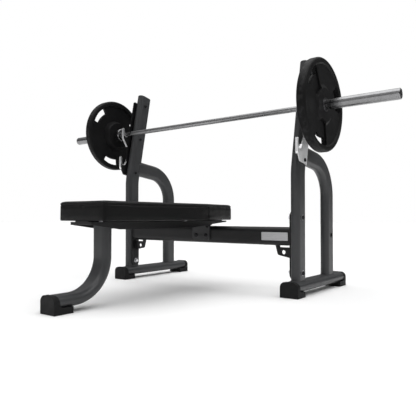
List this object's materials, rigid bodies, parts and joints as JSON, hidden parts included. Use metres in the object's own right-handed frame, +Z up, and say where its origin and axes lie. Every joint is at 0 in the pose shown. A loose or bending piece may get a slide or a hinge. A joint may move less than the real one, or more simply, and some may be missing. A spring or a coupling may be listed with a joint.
{
  "type": "olympic bench press",
  "caption": "Flat bench on an oval-tube frame with leaning uprights, two-height bar catches, and a loaded barbell with turning sleeves and sliding rubber plates.",
  "frame": {"origin": "middle of the bounding box seen from above, on the floor", "axes": "+X along the barbell, +Y from the bench's foot end to the uprights, +Z up"},
  "size_m": [2.2, 1.545, 1.2003],
  "materials": {
    "grey_paint": "dark grey semi-gloss powder coat",
    "black_paint": "black satin powder coat",
    "bracket_paint": "charcoal satin powder coat",
    "foot_rubber": "matt moulded rubber",
    "black_plastic": "fine-grained black plastic",
    "guard_steel": "brushed stainless steel",
    "badge_metal": "satin anodised",
    "pad_vinyl": "fine-grained black vinyl",
    "board_wood": "plywood",
    "bar_chrome": "hard chrome, turned",
    "bushing_bronze": "machined bronze",
    "plate_rubber": "matt moulded rubber over an iron core",
    "hub_steel": "turned steel",
    "zinc_fasteners": "bright zinc",
    "dark_fasteners": "black oxide"
  },
  "bodies": {
    "frame": {"badge_plate": "badge_metal", "band_gusset_left": "black_paint", "band_gusset_right": "black_paint", "base_cap_front_left": "foot_rubber", "base_cap_front_right": "foot_rubber", "base_cap_rear_left": "foot_rubber", "base_cap_rear_right": "foot_rubber", "base_tube_left": "grey_paint", "base_tube_right": "grey_paint", "bracket_bolts": "dark_fasteners", "bracket_nuts": "dark_fasteners", "bracket_washers": "dark_fasteners", "catch_strip_lower_left": "guard_steel", "catch_strip_lower_right": "guard_steel", "catch_strip_upper_left": "guard_steel", "catch_strip_upper_right": "guard_steel", "crossbeam": "black_paint", "flange_bolts": "dark_fasteners", "flange_nuts": "zinc_fasteners", "flange_plate_left": "black_paint", "flange_plate_right": "black_paint", "flange_washers": "zinc_fasteners", "front_foot_cap": "foot_rubber", "front_leg": "grey_paint", "hook_guard_left": "guard_steel", "hook_guard_right": "guard_steel", "hook_nuts": "dark_fasteners", "hook_plate_left": "black_paint", "hook_plate_right": "black_paint", "hook_screws": "dark_fasteners", "pad_board": "board_wood", "pad_bolts": "zinc_fasteners", "pad_cushion": "pad_vinyl", "pad_rail": "black_plastic", "pad_spacers": "zinc_fasteners", "pad_t_nuts": "zinc_fasteners", "pad_tray": "black_paint", "pad_washers": "zinc_fasteners", "rear_leg_left": "grey_paint", "rear_leg_plug_left": "black_plastic", "rear_leg_plug_right": "black_plastic", "rear_leg_right": "grey_paint", "tray_bracket": "bracket_paint", "upright_left": "grey_paint", "upright_right": "grey_paint", "upright_top_cap_left": "black_plastic", "upright_top_cap_right": "black_plastic"},
    "barbell": {"bar_shaft": "bar_chrome", "retaining_ring_left": "zinc_fasteners", "retaining_ring_right": "zinc_fasteners"},
    "sleeve_left_group": {"sleeve_bushings_left": "bushing_bronze", "sleeve_end_cap_left": "black_plastic", "sleeve_left": "bar_chrome"},
    "sleeve_right_group": {"sleeve_bushings_right": "bushing_bronze", "sleeve_end_cap_right": "black_plastic", "sleeve_right": "bar_chrome"},
    "plate_left_group": {"plate_hub_left": "hub_steel", "weight_plate_left": "plate_rubber"},
    "plate_right_group": {"plate_hub_right": "hub_steel", "weight_plate_right": "plate_rubber"}
  },
  "joints": [
    {"name": "bar_lift", "type": "slide", "parent": "frame", "child": "barbell", "axis": [0, 0, 1], "range_m": [0, 0.3]},
    {"name": "sleeve_spin_left", "type": "hinge", "parent": "barbell", "child": "sleeve_left_group", "pos_m": [-0.9, 0.2347, 0.9296], "axis": [1, 0, 0], "continuous": true},
    {"name": "plate_slide_left", "type": "slide", "parent": "sleeve_left_group", "child": "plate_left_group", "axis": [-1, 0, 0], "range_m": [0, 0.34]},
    {"name": "sleeve_spin_right", "type": "hinge", "parent": "barbell", "child": "sleeve_right_group", "pos_m": [0.9, 0.2347, 0.9296], "axis": [1, 0, 0], "continuous": true},
    {"name": "plate_slide_right", "type": "slide", "parent": "sleeve_right_group", "child": "plate_right_group", "axis": [1, 0, 0], "range_m": [0, 0.34]}
  ]
}
